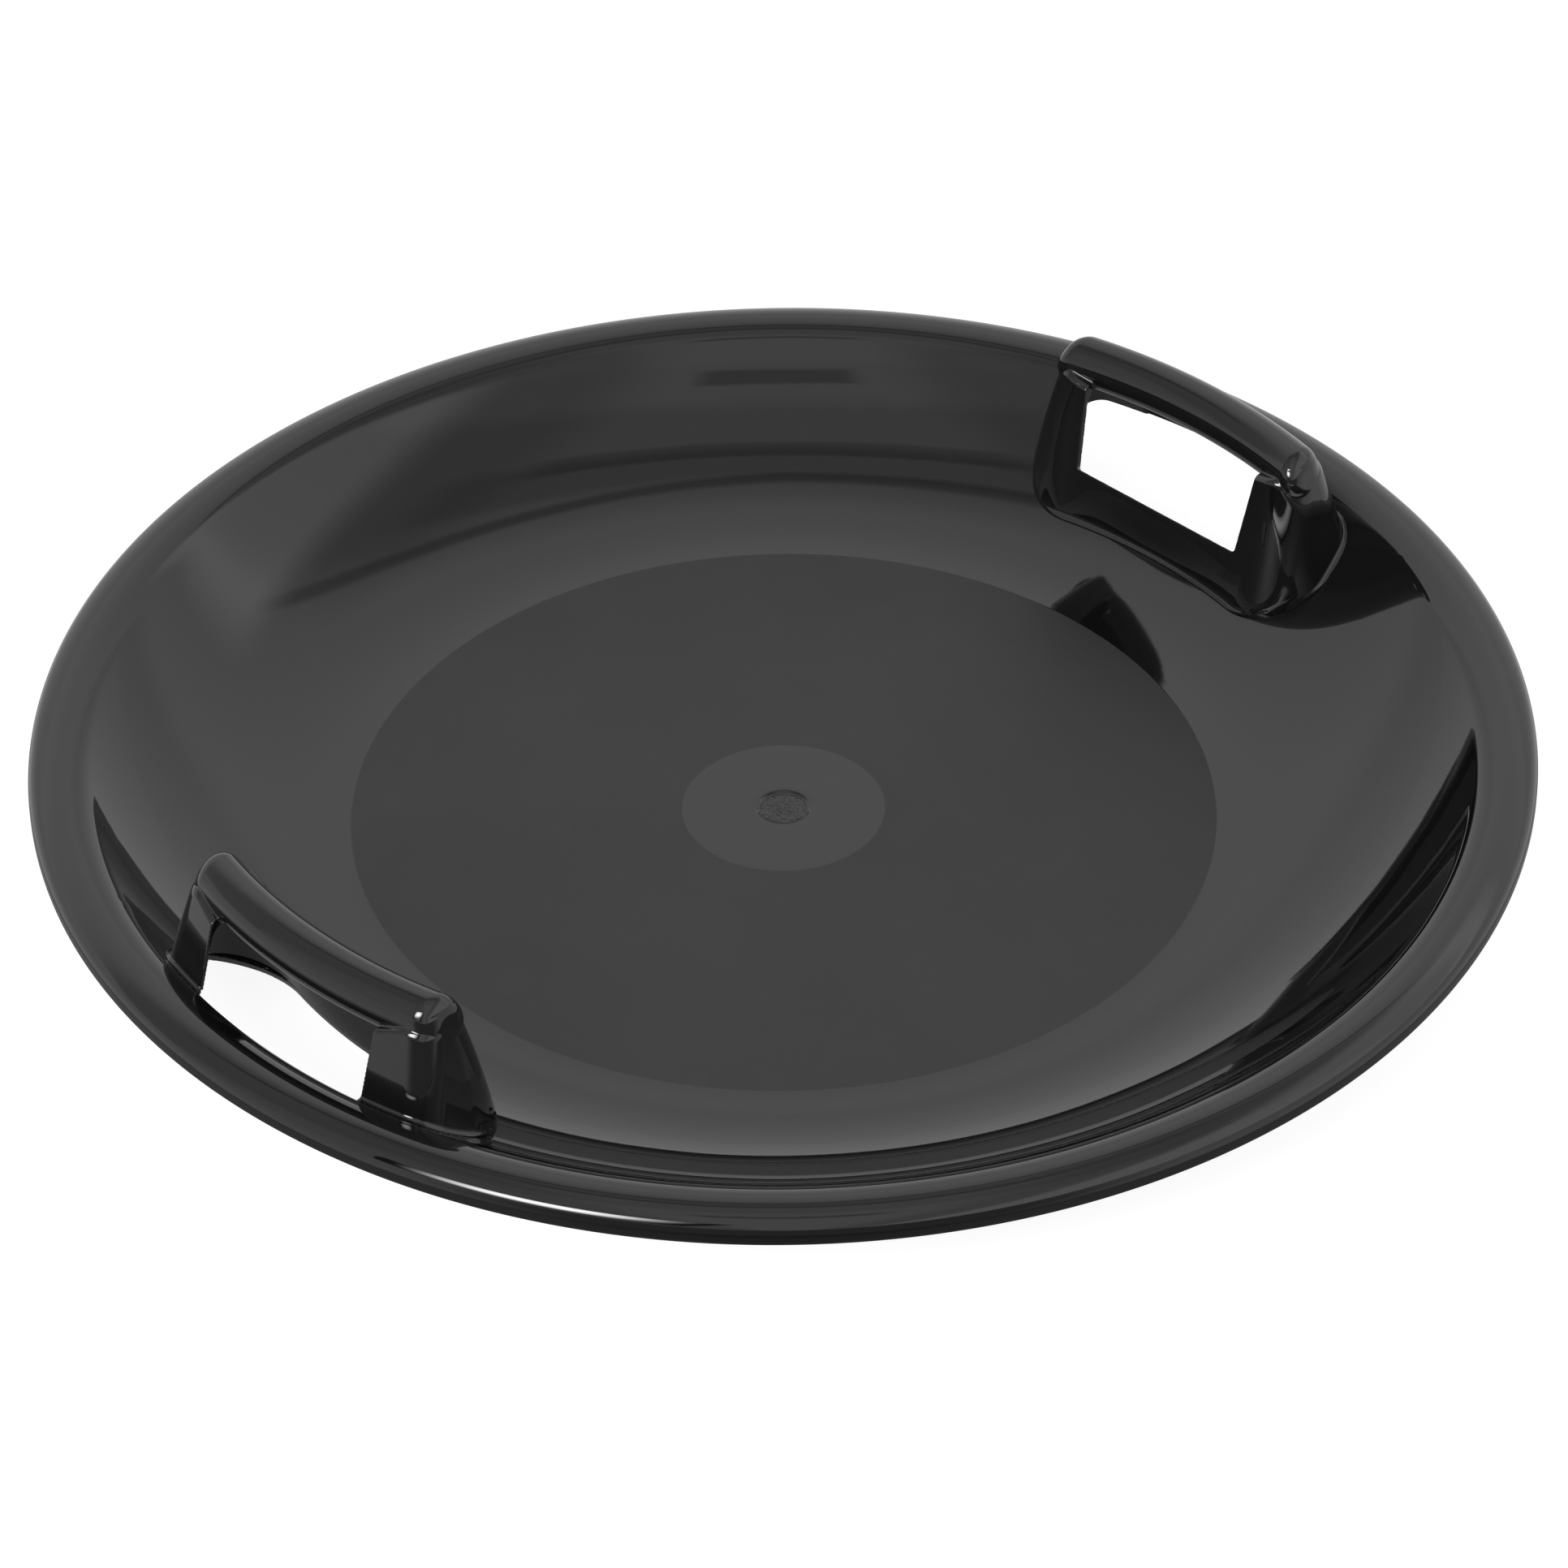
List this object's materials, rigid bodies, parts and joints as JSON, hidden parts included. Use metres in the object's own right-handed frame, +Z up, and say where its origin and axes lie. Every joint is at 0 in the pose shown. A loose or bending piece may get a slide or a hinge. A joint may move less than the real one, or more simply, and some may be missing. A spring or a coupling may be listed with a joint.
{
  "type": "saucer sled",
  "caption": "Round snow saucer: shallow moulded dish with a rolled rim and a hollow arched handle standing over a hand opening on each side.",
  "frame": {"origin": "on the ground under the centre of the dish, at the underside of its flat floor", "axes": "+Z up, +X towards the right handle, -X towards the left handle"},
  "size_m": [0.6, 0.6, 0.0847],
  "materials": {
    "pan_plastic": "glossy black moulding with a fine matte grain on the floor",
    "handle_plastic": "glossy black moulding"
  },
  "bodies": {
    "root": {"pan": "pan_plastic", "right_handle": "handle_plastic", "left_handle": "handle_plastic"}
  },
  "joints": []
}
